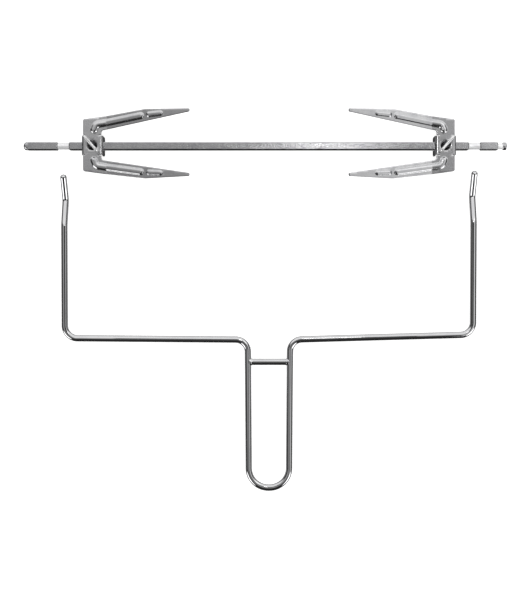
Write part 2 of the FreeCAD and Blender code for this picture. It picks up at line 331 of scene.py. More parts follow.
def rounded_path(
    corners: list[Vector], radii: list[float], run_step: float, arc_step: float
) -> list[Vector]:
    """Points along straight runs that are joined by tangent arcs.

    Args:
        corners: The corner points, ends included.
        radii: The rounding radius of each corner between the ends.
        run_step: The longest distance between points on a run.
        arc_step: The longest distance between points on an arc.

    Returns:
        The path's points.
    """
    points = [corners[0]]
    for before, corner, after, radius in zip(corners, corners[1:], corners[2:], radii):
        back = (before - corner).normalized()
        ahead = (after - corner).normalized()
        half = back.angle(ahead) / 2.0
        reach = radius / math.tan(half)
        centre = corner + (back + ahead).normalized() * (radius / math.sin(half))
        spoke = corner + back * reach - centre
        turn = math.pi - 2.0 * half
        axis = spoke.cross(corner + ahead * reach - centre).normalized()
        add_run(points, centre + spoke, run_step)
        count = max(3, math.ceil(turn * radius / arc_step))
        points.extend(centre + Quaternion(axis, turn * k / count) @ spoke for k in range(1, count + 1))
    add_run(points, corners[-1], run_step)
    return points


def rounded_outline(corners: list[Triple], step: float) -> Array:
    """A closed flat outline with rounded corners.

    Args:
        corners: The corners as (u, v, radius), anticlockwise.
        step: The longest distance between points.

    Returns:
        The outline's points, one row each.
    """
    spots = [Vector((u, v, 0.0)) for u, v, _ in corners]
    start = (spots[0] + spots[-1]) / 2.0
    path = rounded_path([start, *spots, start], [radius for _, _, radius in corners], step, step * 0.7)
    return np.array([[point.x, point.y] for point in path[:-1]])


def round_angles(count: int) -> Array:
    """Evenly spaced angles of a full turn, in radians."""
    return np.linspace(0.0, 2.0 * math.pi, count, endpoint=False)


def level_ring(reach: float | Array, level: float, angles: Array) -> Array:
    """A ring about the Z axis.

    Args:
        reach: Its radius, the same all round or one value per angle.
        level: Its height.
        angles: The angles of its points.

    Returns:
        Its points, one row each.
    """
    return np.column_stack([reach * np.cos(angles), reach * np.sin(angles), np.full(angles.shape, level)])


def quarter_round(radius: float, step: int, first: int = 0) -> list[Pair]:
    """A rounded edge, from flush with the end face to flush with the side.

    Args:
        radius: The round's radius.
        step: The degrees between its points.
        first: The first point's degrees.

    Returns:
        Each point's distance from where the round meets the side, and its distance in from the side.
    """
    angles = [math.radians(degrees) for degrees in range(first, 91, step)]
    return [(radius * (1.0 - math.sin(angle)), radius * (1.0 - math.cos(angle))) for angle in angles]


def inside(points: Array, rims: list[Array]) -> Array:
    """Which points lie in a sheet: inside its outline, and in none of its holes.

    Args:
        points: The points to test, one row each.
        rims: The outline and the holes.

    Returns:
        One truth value per point.
    """
    x, y = points[:, :1], points[:, 1:]
    crossed = np.zeros(len(points), int)
    for rim in rims:
        x0, y0 = rim.T
        x1, y1 = np.roll(x0, -1), np.roll(y0, -1)
        rise = np.where(y1 == y0, 1e-12, y1 - y0)
        crosses = ((y0 > y) != (y1 > y)) & (x < (x1 - x0) * (y - y0) / rise + x0)
        crossed += crosses.sum(axis=1)
    return crossed % 2 == 1


def turned(points: Array, degrees: float, axis: str) -> Array:
    """Turn points, one in each row, about an axis through the origin."""
    return points @ np.array(Matrix.Rotation(math.radians(degrees), 3, axis)).T


def placed(name: str, data: bpy.types.ID) -> bpy.types.Object:
    """Make an object from its data, and link it to the scene.

    Args:
        name: The object's name.
        data: Its mesh, light or camera.

    Returns:
        The linked object.
    """
    made = bpy.data.objects.new(name, data)
    bpy.context.scene.collection.objects.link(made)
    return made


def coat(piece: bpy.types.Object, finish: PlatedSteel, chosen: Callable[[Vector], bool]) -> None:
    """Give some faces of a piece a second finish.

    Args:
        piece: The piece.
        finish: The second finish.
        chosen: Whether a face gets it, from the face's middle in millimetres.
    """
    piece.data.materials.append(finish.material())
    for face in piece.data.polygons:
        face.material_index = int(chosen(face.center / MM))


@dataclass
class Draft:
    """Points in millimetres, and faces, gathered until they become one piece."""

    points: list[Array] = field(default_factory=list)  # blocks, one row per point
    faces: list[tuple[int, ...]] = field(default_factory=list)  # as point numbers
    count: int = 0  # points so far

    def add(self, points: Array) -> int:
        """Add points.

        Args:
            points: The points, one row each.

        Returns:
            The number of the first.
        """
        first = self.count
        self.points.append(points)
        self.count += len(points)
        return first

    def bridge(self, first: int, second: int, size: int) -> None:
        """Join two closed rings with a strip of quads.

        Args:
            first: The first ring's first point.
            second: The second ring's first point.
            size: How many points each ring has.
        """
        for index in range(size):
            after = (index + 1) % size
            self.faces.append((first + index, first + after, second + after, second + index))

    def loft(self, rings: Array, poles: bool = True) -> None:
        """Skin a row of closed rings.

        Args:
            rings: The rings, as ring, point and coordinate.
            poles: Close both ends with a fan. Otherwise the last ring joins the first.
        """
        size = rings.shape[1]
        first = self.add(rings.reshape(-1, 3))
        for index in range(len(rings) - 1):
            self.bridge(first + index * size, first + (index + 1) * size, size)
        last = first + (len(rings) - 1) * size
        if not poles:
            self.bridge(last, first, size)
            return
        for ring, number in ((rings[0], first), (rings[-1], last)):
            pole = self.add(ring.mean(axis=0, keepdims=True))
            for index in range(size):
                self.faces.append((number + index, number + (index + 1) % size, pole))

    def piece(self, name: str, node: str, body: str, finish: PlatedSteel) -> bpy.types.Object:
        """Turn the draft into a smooth-shaded piece that stands for a CAD node.

        Args:
            name: The piece's name.
            node: The CAD node it stands for.
            body: The CAD body it rides on.
            finish: Its finish.

        Returns:
            The new object.
        """
        mesh = bpy.data.meshes.new(name)
        mesh.from_pydata((np.vstack(self.points) * MM).tolist(), [], self.faces)
        shell = bmesh.new()
        shell.from_mesh(mesh)
        bmesh.ops.recalc_face_normals(shell, faces=shell.faces)
        shell.to_mesh(mesh)
        shell.free()
        mesh.polygons.foreach_set("use_smooth", [True] * len(mesh.polygons))
        mesh.materials.append(finish.material())
        mesh.update()
        piece = placed(name, mesh)
        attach(piece, body)
        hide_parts(node)
        LOG.info("%s rides on %s, %d faces", name, body, len(mesh.polygons))
        return piece


def sweep(path: list[Vector], radii: list[float], segments: int) -> Array:
    """Round rings along a path, carried without twist.

    Args:
        path: The path's points.
        radii: The ring's radius at each point.
        segments: How many points each ring has.

    Returns:
        The rings, as ring, point and coordinate.
    """
    angles = round_angles(segments)
    rings = []
    across = Vector((0.0, 0.0, 1.0))
    for index, (spot, radius) in enumerate(zip(path, radii)):
        ahead = (path[min(index + 1, len(path) - 1)] - path[max(index - 1, 0)]).normalized()
        across = (across - ahead * across.dot(ahead)).normalized()
        other = ahead.cross(across)
        ring = np.outer(np.cos(angles), across) + np.outer(np.sin(angles), other)
        rings.append(np.array(spot) + radius * ring)
    return np.array(rings)


def thread_groove(angles: Array, level: float, pitch: float) -> Array:
    """How deep a right-hand thread is cut, from 0 on its crest to 1 in its root.

    Args:
        angles: Angles round the axis, in radians.
        level: The height along the axis.
        pitch: The rise of one turn.

    Returns:
        The share of the full depth.
    """
    phase = level / pitch - angles / (2.0 * math.pi)
    wave = np.abs(2.0 * (phase - np.floor(phase)) - 1.0)
    return np.clip((wave - 0.12) / 0.72, 0.0, 1.0)


@dataclass
class Plate:
    """A flat blank with rolled-over edges, raised by a relief and folded to shape."""

    outline: Array  # one row per point
    holes: list[Array]
    thickness: float
    edge_round: float
    pitch: float  # between points where detail is needed
    relief: Surface  # the upper face's height at (u, v)
    detail: Surface  # where the mesh has to be dense
    fold: Fold  # takes (u, v, height) to a point in space
    back: SheetBack = SheetBack.PRESSED  # how the under face follows the upper one

    def spots(self, flat: Array, depth: float) -> Array:
        """Points in space, a given depth under the upper face.

        Args:
            flat: Points of the blank, one row each.
            depth: The depth below the upper face, across the sheet.

        Returns:
            The folded points.
        """
        u, v = flat[:, 0], flat[:, 1]
        height = self.relief(u, v)
        if self.back is SheetBack.COINED:
            half = self.thickness / 2.0
            level = half + height - min(depth, self.thickness - depth)
            return self.fold(u, v, level if depth <= half else -level)
        nudge = 0.02
        slope_u = (self.relief(u + nudge, v) - self.relief(u - nudge, v)) / (2.0 * nudge)
        slope_v = (self.relief(u, v + nudge) - self.relief(u, v - nudge)) / (2.0 * nudge)
        lean = np.sqrt(1.0 + slope_u**2 + slope_v**2)
        return self.fold(u + depth * slope_u / lean, v + depth * slope_v / lean, height - depth / lean)

    def inset(self, rim: Array, distance: float, hole: bool) -> Array:
        """Move a rim into the sheet.

        Args:
            rim: The rim's points.
            distance: How far it moves.
            hole: Whether the rim is a hole's, where the sheet is outside.

        Returns:
            The moved points.
        """
        along = np.roll(rim, -1, axis=0) - np.roll(rim, 1, axis=0)
        normal = np.column_stack([-along[:, 1], along[:, 0]])
        normal /= np.linalg.norm(normal, axis=1, keepdims=True)
        return rim + normal * (-distance if hole else distance)

    def lattice(self, rims: list[Array]) -> Array:
        """Points that fill the blank inside its rims, dense only where detail is needed.

        Args:
            rims: The outline and the holes, already inset.

        Returns:
            The points, one row each.
        """
        low, high = self.outline.min(axis=0), self.outline.max(axis=0)
        row_pitch = self.pitch * 0.866
        rows = int((high[1] - low[1]) / row_pitch) + 1
        columns = int((high[0] - low[0]) / self.pitch) + 1
        row, column = np.mgrid[0:rows, 0:columns]
        u = low[0] + (column + 0.5 * (row % 2)) * self.pitch
        v = low[1] + row * row_pitch
        points = np.column_stack([u.ravel(), v.ravel()])
        sparse = ((row % 4 == 0) & (column % 4 == 0)).ravel()
        points = points[sparse | self.detail(points[:, 0], points[:, 1])]
        points = points[inside(points, rims)]
        edge = np.vstack(rims)
        gaps = np.full(len(points), np.inf)
        for block in np.array_split(edge, max(1, len(edge) // 200)):
            distance = np.linalg.norm(points[:, None, :] - block[None, :, :], axis=2)
            gaps = np.minimum(gaps, distance.min(axis=1))
        return points[gaps > self.pitch * 0.6]

    def triangles(self, flat: Array, rims: list[Array]) -> list[tuple[int, ...]]:
        """Triangles over the blank, with its rims kept as edges.

        Args:
            flat: All points: the rims' first, in order, and then the lattice's.
            rims: The outline and the holes.

        Returns:
            Faces as numbers in flat.
        """
        edges = []
        start = 0
        for rim in rims:
            size = len(rim)
            edges += [(start + index, start + (index + 1) % size) for index in range(size)]
            start += size
        made = delaunay_2d_cdt([Vector(point) for point in flat.tolist()], edges, [], 0, 1e-7)
        source = [origins[0] for origins in made[3]]
        faces = np.array([[source[corner] for corner in face] for face in made[2]])
        kept = faces[inside(flat[faces].mean(axis=1), rims)]
        return [tuple(face) for face in kept.tolist()]

    def draft(self) -> Draft:
        """Build the closed sheet.

        Returns:
            The draft, with both faces and every rolled edge.
        """
        outlines = [self.outline, *self.holes]
        rolls = quarter_round(self.edge_round, 30)
        rims = [self.inset(rim, rolls[0][0], number > 0) for number, rim in enumerate(outlines)]
        flat = np.vstack([*rims, self.lattice(rims)])
        faces = self.triangles(flat, rims)
        draft = Draft()
        top = draft.add(self.spots(flat, 0.0))
        bottom = draft.add(self.spots(flat, self.thickness))
        draft.faces += [tuple(top + corner for corner in face) for face in faces]
        draft.faces += [tuple(bottom + corner for corner in reversed(face)) for face in faces]
        start = 0
        levels = rolls[1:] + [(inset, self.thickness - depth) for inset, depth in reversed(rolls[1:])]
        for number, rim in enumerate(outlines):
            ring = top + start
            for inset, depth in levels:
                moved = self.inset(rim, inset, number > 0)
                after = draft.add(self.spots(moved, depth))
                draft.bridge(ring, after, len(rim))
                ring = after
            draft.bridge(ring, bottom + start, len(rim))
            start += len(rim)
        return draft


# ---- The set's pieces ----


@dataclass(frozen=True)
class Spot:
    """Where a CAD node lies, in millimetres."""

    low: Vector
    high: Vector

    @classmethod
    def of(cls, node: str) -> Spot:
        """Read a node's box from the frame."""
        low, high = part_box(node)
        return cls(low / MM, high / MM)

    @property
    def middle(self) -> Vector:
        """The middle of the box."""
        return (self.low + self.high) / 2.0


@dataclass
class SpitRod:
    """The square bar with its rounded nose, two turned necks, stem and button."""

    side: float = 6.0  # across flats
    edge_round: float = 0.5
    edge_reach: float = 4.4  # the lathe's radius where the bar is left square
    nose_length: float = 2.4
    nose_radius: float = 3.2  # where the nose's round ends
    neck_radius: float = 2.5
    neck_length: float = 10.2  # shoulders included
    shoulder: float = 0.8  # a neck's sloping end
    neck_spacing: float = 323.0  # between their middles
    neck_middle: float = 3.0  # along X
    stem_radius: float = 2.0
    stem_length: float = 3.6
    button_radius: float = 3.0
    button_length: float = 3.6
    button_round: float = 1.0
    runout: float = 1.6  # from the nose's round to the full square
    step: float = 0.05  # the length of a square step, as the lathe leaves it
    pole: float = 0.02  # the radius at which both ends close

    def turned_outline(self, start: float, end: float) -> list[Vector]:
        """The lathe's outline, as points of length along the rod and radius.

        Args:
            start: Where the nose begins.
            end: Where the button ends.

        Returns:
            The outline's points, with its corners slightly rounded.
        """
        corners = [(start, self.pole, 0.0)]
        for flank, reach in quarter_round(1.0, 15, 15):
            corners.append((start + self.nose_length * reach, self.nose_radius * (1.0 - flank), 0.0))
        corners.append((start + self.nose_length + self.runout, self.edge_reach, 0.3))
        half = self.neck_length / 2.0
        for sign in (-1, 1):
            middle = self.neck_middle + sign * self.neck_spacing / 2.0
            corners += [
                (middle - half, self.edge_reach, 0.2),
                (middle - half + self.shoulder, self.neck_radius, 0.3),
                (middle + half - self.shoulder, self.neck_radius, 0.3),
                (middle + half, self.edge_reach, 0.2),
            ]
        square_end = end - self.button_length - self.stem_length
        button = end - self.button_length + self.step
        corners += [
            (square_end - 0.6, self.edge_reach, 0.2),
            (square_end, self.side / 2.0, 0.15),
            (square_end + self.step, self.stem_radius, 0.2),
            (button - self.step, self.stem_radius, 0.2),
            (button, self.button_radius - self.button_round, 0.02),
        ]
        rim = [(reach, self.button_radius - drop) for drop, reach in quarter_round(self.button_round, 15, 15)]
        corners += [(button + reach, radius, 0.0) for reach, radius in rim]
        corners += [(end - reach, radius, 0.0) for reach, radius in reversed(rim)]
        corners.append((end, self.pole, 0.0))
        spots = [Vector((length, radius, 0.0)) for length, radius, _ in corners]
        path = [spots[0]]
        for corner, spot, after in zip(corners[1:], spots[1:], spots[2:]):
            if corner[2] == 0.0:
                add_run(path, spot, 6.0)
            else:
                path.extend(rounded_path([path[-1], spot, after], [corner[2]], 6.0, 0.08)[1:-1])
        add_run(path, spots[-1], 0.4)
        return path

    def square_ring(self) -> Array:
        """The square's section, as distances across and up from its middle.

        Returns:
            The section's points, one row each.
        """
        half = self.side / 2.0
        corner = half - self.edge_round
        quarter = [(half, share * corner) for share in np.linspace(-1.0, 1.0, 13)]
        for angle in np.radians(range(15, 90, 15)):
            across, up = self.edge_round * math.cos(angle), self.edge_round * math.sin(angle)
            quarter.append((corner + across, corner + up))
        turns = [np.array(quarter)]
        for _ in range(3):
            turns.append(np.column_stack([-turns[-1][:, 1], turns[-1][:, 0]]))
        return np.vstack(turns)

    def build(self) -> None:
        """Make the rod's mesh and dress it."""
        spot = Spot.of("spit_rod")
        square = self.square_ring()
        reach = np.linalg.norm(square, axis=1)
        blend = 0.04
        rings = []
        for point in self.turned_outline(spot.low.x, spot.high.x):
            gap = np.clip((reach - point.y) / blend, -1.0, 1.0)
            cut = np.minimum(reach, point.y) - blend * (1.0 - np.abs(gap)) ** 2 / 4.0
            section = square * (np.maximum(cut, 0.01) / reach)[:, None]
            section += [spot.middle.y, spot.middle.z]
            rings.append(np.column_stack([np.full(len(section), point.x), section]))
        draft = Draft()
        draft.loft(np.array(rings))
        piece = draft.piece("rod", "spit_rod", "spit", ROD_NICKEL)
        nose_end = spot.low.x + self.nose_length + self.runout + 1.0
        turned_reach = self.side / 2.0 - 0.2
        coat(piece, NECK_POLISH, lambda at: at.x > nose_end and (at - spot.middle).yz.length < turned_reach)


@dataclass(frozen=True)
class Bead:
    """A pressed stiffening bead: a slightly domed crown with rounded, fairly steep flanks."""

    line: Array  # centre line, one row per point
    height: float  # of the crown over the sheet
    crown: float  # the crown's radius
    flat: float  # from the centre line to where the flanks begin
    reach: float  # to where the flanks end

    def distance(self, u: Array, v: Array) -> Array:
        """The distance from points of the blank to the bead's centre line.

        Args:
            u: The points' first coordinates.
            v: The points' second coordinates.

        Returns:
            The distances.
        """
        nearest = np.full(u.shape, np.inf)
        for start, end in zip(self.line, self.line[1:]):
            step = end - start
            share = ((u - start[0]) * step[0] + (v - start[1]) * step[1]) / (step @ step)
            share = np.clip(share, 0.0, 1.0)
            gap = np.hypot(u - start[0] - share * step[0], v - start[1] - share * step[1])
            nearest = np.minimum(nearest, gap)
        return nearest

    def rise(self, u: Array, v: Array) -> Array:
        """The bead's height at points of the blank.

        Args:
            u: Their places along the blank.
            v: Their places across it, from the rod's axis.

        Returns:
            One height per point.
        """
        distance = self.distance(u, v)
        share = np.clip((distance - self.flat) / (self.reach - self.flat), 0.0, 1.0)
        fall = share**3 * (share * (6.0 * share - 15.0) + 10.0)
        return (self.height - distance**2 / (2.0 * self.crown)) * (1.0 - fall)


@dataclass
class MeatFork:
    """One pressed fork: base plate, two tabs folded down over the rod, and two raised tines.

    It is drawn in the fork's own frame: u from its outer edge to its tips and v across it from the
    rod's axis, both measured over the sheet's upper face before it is folded.
    """

    side: Side
    sheet: float = 1.2
    plate_length: float = 14.3  # between the two tab folds
    plate_half_width: float = 20.3
    knuckle: Pair = (48.4, 26.9)  # where a tine's outer edge turns to its tip
    tip_length: float = 84.5  # from the outer edge
    tip_span: Pair = (23.5, 26.0)  # a tip's inner and outer edge
    crotch: float = 11.5  # where a tine's inner edge meets the plate
    bend_at: float = 17.5  # where the tines start to rise
    bend_radius: float = 6.0  # on the upper face
    rise_degrees: float = 13.5
    tab_half_width: float = 7.5
    tab_bend: float = 2.0  # the folds' outer radius
    tab_inset: float = 0.9  # from the plate's edge to a tab's fold
    relief_width: float = 0.4  # of the slots beside a tab
    relief_depth: float = 1.5  # from the plate's edge
    rod_hole: float = 6.6  # width of the square hole
    screw_at: float = 7.2  # along u
    screw_radius: float = 4.0
    edge_round: float = 0.28
    hook: tuple[Pair, ...] = ((8.6, 11.9), (10.4, 16.1), (45.0, 21.7))  # the long bead, unbent
    hook_round: float = 3.5
    ridge: tuple[Pair, ...] = ((51.8, 22.4), (61.0, 23.0))  # the short bead, unbent
    mesh_pitch: float = 0.45

    def __post_init__(self) -> None:
        """Read the fork's place, and work out its folds and its beads."""
        spot = Spot.of(f"{self.side.label}_fork")
        rod = Spot.of("spit_rod").middle
        self.top = Spot.of(f"{self.side.label}_weld_nut").high.z + self.sheet
        self.axis_y = rod.y
        self.hole_drop = self.top - self.tab_bend - rod.z
        outermost = spot.low.x if self.side is Side.LEFT else spot.high.x
        self.outer_x = outermost - self.side.value * (self.tab_bend - self.tab_inset)
        self.rise = math.radians(self.rise_degrees)
        self.bend_length = self.bend_radius * self.rise
        self.fold_length = self.tab_bend * math.pi / 2.0
        self.tab_length = self.fold_length + self.top - self.tab_bend
        self.beads = self.tine_beads()

    def tab_folds(self) -> tuple[Pair, Pair]:
        """Where each tab's fold begins, and which way the tab lies from there."""
        return ((self.tab_inset, -1.0), (self.plate_length - self.tab_inset, 1.0))

    def fold(self, u: Array, v: Array, height: Array) -> Array:
        """Fold the blank: tabs down at both edges of the plate, tines up beyond it.

        Args:
            u: Distances along the blank.
            v: Distances across it.
            height: Heights over its upper face.

        Returns:
            Points in the frame's axes.
        """
        along, level = u.copy(), self.top + height
        tab_zone = np.abs(v) < self.tab_half_width + self.relief_width / 2.0
        tine = ~tab_zone & (u > self.bend_at)
        beyond = u - self.bend_at
        angle = np.clip(beyond, 0.0, self.bend_length) / self.bend_radius
        straight = np.maximum(beyond - self.bend_length, 0.0)
        arm = self.bend_radius - height
        along = np.where(tine, self.bend_at + arm * np.sin(angle) + straight * math.cos(self.rise), along)
        lift = self.bend_radius - arm * np.cos(angle) + straight * math.sin(self.rise)
        level = np.where(tine, self.top + lift, level)
        for edge, sign in self.tab_folds():
            past = (u - edge) * sign
            tab = (past > 0.0) & tab_zone
            angle = np.clip(past, 0.0, self.fold_length) / self.tab_bend
            straight = np.maximum(past - self.fold_length, 0.0)
            arm = self.tab_bend + height
            along = np.where(tab, edge + sign * arm * np.sin(angle), along)
            level = np.where(tab, self.top - self.tab_bend + arm * np.cos(angle) - straight, level)
        sign = -self.side.value
        return np.column_stack([self.outer_x + sign * along, self.axis_y + sign * v, level])

    def outline(self, step: float) -> Array:
        """The blank's outline, tabs included.

        Args:
            step: The longest distance between points.

        Returns:
            The points, one row each.
        """
        stretch = self.bend_length
        length = self.plate_length
        tab_end = self.tab_inset - self.tab_length
        tab_edge, slot = self.tab_half_width, self.tab_half_width + self.relief_width
        root = self.relief_depth
        half = [
            (length - tab_end, tab_edge, 2.0),
            (length - root, tab_edge, 0.18),
            (length - root, slot, 0.18),
            (length, slot, 0.35),
            (length, self.crotch, 2.2),
            (self.tip_length + stretch, self.tip_span[0], 0.8),
            (self.tip_length + stretch, self.tip_span[1], 0.85),
            (self.knuckle[0] + stretch, self.knuckle[1], 12.0),
            (0.0, self.plate_half_width, 1.5),
            (0.0, slot, 0.35),
            (root, slot, 0.18),
            (root, tab_edge, 0.18),
            (tab_end, tab_edge, 2.0),
        ]
        other = [(u, -v, radius) for u, v, radius in reversed(half)]
        return rounded_outline(half + other, step)

    def tine_beads(self) -> list[Bead]:
        """The two beads of a tine, on its positive side.

        Returns:
            The long bead with its hooked start, and the short one past the knuckle.
        """
        hook = [Vector((u + self.bend_length * (u > self.bend_at), v, 0.0)) for u, v in self.hook]
        hooked = np.array([point[:2] for point in rounded_path(hook, [self.hook_round], 60.0, 0.5)])
        ridge = np.array(self.ridge) + [self.bend_length, 0.0]
        return [
            Bead(hooked, height=1.2, crown=6.0, flat=1.75, reach=2.85),
            Bead(ridge, height=1.0, crown=5.0, flat=1.3, reach=2.2),
        ]

    def relief(self, u: Array, v: Array) -> Array:
        """The beads' height over the blank."""
        return sum(bead.rise(u, np.abs(v)) for bead in self.beads)

    def detail(self, u: Array, v: Array) -> Array:
        """Where the blank needs a dense mesh: by the beads, the tines' bend and the tabs' folds.

        Args:
            u: Distances along the blank.
            v: Distances across it.

        Returns:
            One truth value per point.
        """
        margin = 0.5
        near = (u > self.bend_at - margin) & (u < self.bend_at + self.bend_length + margin)
        for bead in self.beads:
            near |= bead.distance(u, np.abs(v)) < bead.reach + margin
        for edge, sign in self.tab_folds():
            past = (u - edge) * sign
            near |= (past > -0.6) & (past < self.fold_length + 0.6)
        return near

    def build(self) -> None:
        """Make the fork's mesh and dress it."""
        half, turn = self.rod_hole / 2.0, 0.6
        square = [(half, half, turn), (-half, half, turn), (-half, -half, turn), (half, -half, turn)]
        rod_hole = rounded_outline(square, self.mesh_pitch)
        screw_hole = level_ring(self.screw_radius, 0.0, round_angles(64))[:, :2]
        reach = self.fold_length + self.hole_drop
        holes = [screw_hole + [self.screw_at, 0.0]]
        holes += [rod_hole + [edge + sign * reach, 0.0] for edge, sign in self.tab_folds()]
        plate = Plate(
            outline=self.outline(self.mesh_pitch),
            holes=holes,
            thickness=self.sheet,
            edge_round=self.edge_round,
            pitch=self.mesh_pitch,
            relief=self.relief,
            detail=self.detail,
            fold=self.fold,
        )
        label = self.side.label
        plate.draft().piece(f"{label}_fork_pressing", f"{label}_fork", f"{label}_fork", FORK_NICKEL)


@dataclass
class WeldNut:
    """The round nut under a fork's plate, threaded, with a weld run round its upper rim."""

    side: Side
    bore: float = 2.55  # the thread's crest radius
    thread_depth: float = 0.42
    pitch: float = 0.8
    chamfer: float = 0.4  # of the lower rim
    weld: float = 0.45  # how far it stands out
    weld_height: float = 0.6
    mouth: float = 0.35  # how far the bore widens at both ends

    def build(self) -> None:
        """Make the nut's mesh and dress it."""
        node = f"{self.side.label}_weld_nut"
        spot = Spot.of(node)
        low, high = spot.low.z, spot.high.z
        radius = (spot.high.x - spot.low.x) / 2.0
        weld_foot, mouth = radius - 0.05, self.bore + self.mouth
        angles = round_angles(96)
        profile = [
            (radius - self.chamfer, low),
            (radius - 0.12, low + 0.22),
            (radius, low + self.chamfer),
            (radius, high - 1.1),
            (weld_foot, high - 0.75),
        ]
        ripple = 0.75 + 0.12 * np.sin(17.0 * angles) + 0.08 * np.sin(29.0 * angles + 1.0)
        for angle in np.radians(range(0, 91, 18)):
            out = self.weld * ripple * math.sin(angle)
            profile.append((weld_foot + out, high - 0.02 - self.weld_height * math.cos(angle)))
        profile.append((mouth, high))
        for level in np.linspace(high - 0.3, low + 0.3, 22):
            cut = self.thread_depth * thread_groove(angles, level, self.pitch)
            profile.append((self.bore + cut, level))
        profile.append((mouth, low))
        rings = np.array([level_ring(reach, level, angles) for reach, level in profile])
        draft = Draft()
        draft.loft(rings + [spot.middle.x, spot.middle.y, 0.0], poles=False)
        # Its near-black finish is painted shade for the shadow in the plate's hole round the screw.
        draft.piece(f"{self.side.label}_nut", node, f"{self.side.label}_fork", NUT_PAINTED_SHADE)


@dataclass
class ThumbScrew:
    """A thumb screw: rolled thread, a necked root and a coined spade head."""

    side: Side
    blade_degrees: float  # from the rod, seen from above
    radius: float = 2.49  # the thread's crest radius
    thread_depth: float = 0.5
    pitch: float = 0.8
    blade_half_width: float = 8.5
    blade_thickness: float = 2.0
    blade_foot: float = 5.1  # over the screw's tip
    shoulder: float = 3.2  # from the blade's foot to its widest part
    notch: float = 1.0  # dip in the middle of the blade's top
    root_length: float = 3.0  # how far the shank's root reaches up into the blade
    runout: float = 0.5  # where the thread fades, under the blade's foot
    tip_radius: float = 1.95
    foot_half_width: float = 3.0
    pad_at: Pair = (4.6, 4.8)  # the coined pads' distance from the axis, at the bottom and the top
    pad_ends: Pair = (4.4, 3.4)  # from the blade's foot, and from its top

    def shank_rings(self, tip: float) -> Array:
        """The threaded shank, from its tip to the root that fades into the blade.

        Args:
            tip: The height of the screw's tip.

        Returns:
            The rings, about the screw's own axis.
        """
        angles = round_angles(64)
        foot = tip + self.blade_foot
        thread_end = foot - self.runout - 0.1
        heights = [*np.arange(tip, thread_end, 0.05), *np.linspace(thread_end, foot + self.root_length, 26)]
        rings = []
        for level in heights:
            fade = min(1.0, max(0.0, (foot - self.runout - level) / self.runout))
            cut = self.thread_depth * fade * thread_groove(angles, level, self.pitch)
            reach = np.minimum(self.radius - cut, self.tip_radius + (level - tip) * 1.1)
            rise = min(1.0, max(0.0, (level - foot) / self.root_length))
            rings.append(level_ring(np.maximum(reach * math.sqrt(1.0 - rise**2), 0.02), level, angles))
        return np.array(rings)

    def blade(self, tip: float, top: float) -> Draft:
        """The spade head, standing across X on the screw's axis, with a coined pad at each side.

        Args:
            tip: The height of the screw's tip.
            top: The height of the blade's top.

        Returns:
            The blade's draft.
        """
        foot = tip + self.blade_foot
        wide = self.blade_half_width
        rim = top + 0.25
        corners = [
            (-self.foot_half_width, foot, 1.0),
            (self.foot_half_width, foot, 1.0),
            (wide, foot + self.shoulder, 3.0),
            (wide, rim, 3.0),
            (0.0, rim - self.notch, 12.0),
            (-wide, rim, 3.0),
            (-wide, foot + self.shoulder, 3.0),
        ]
        line = np.column_stack([self.pad_at, (foot + self.pad_ends[0], top - self.pad_ends[1])])
        mirrored = [line * [sign, 1.0] for sign in (-1.0, 1.0)]
        pads = [Bead(path, height=0.28, crown=30.0, flat=0.3, reach=3.4) for path in mirrored]
        plate = Plate(
            outline=rounded_outline(corners, 0.4),
            holes=[],
            thickness=self.blade_thickness,
            edge_round=0.6,
            pitch=0.4,
            relief=lambda u, v: -sum(pad.rise(u, v) for pad in pads),
            detail=lambda u, v: np.ones(u.shape, bool),
            fold=lambda u, v, height: np.column_stack([u, -height, v]),
            back=SheetBack.COINED,
        )
        return plate.draft()

    def build(self) -> None:
        """Make the screw's mesh and dress it, with a dark colour on its thread and root that is painted shade
        for the plate's hole.
        """
        name = f"{self.side.label}_screw"
        node = f"{self.side.label}_thumb_screw"
        spot = Spot.of(node)
        draft = self.blade(spot.low.z, spot.high.z)
        draft.loft(self.shank_rings(spot.low.z))
        axis = Vector((spot.middle.x, spot.middle.y, 0.0))
        draft.points = [turned(block, self.blade_degrees, "Z") + np.array(axis) for block in draft.points]
        piece = draft.piece(name, node, name, SCREW_NICKEL)
        # The thread and the root that rises into the blade get painted shade, for the shadow in the hole
        # round the screw.
        root_top = spot.low.z + self.blade_foot + self.root_length
        shank = self.radius + 0.02
        coat(piece, SHANK_PAINTED_SHADE, lambda at: at.z < root_top and (at - axis).xy.length < shank)


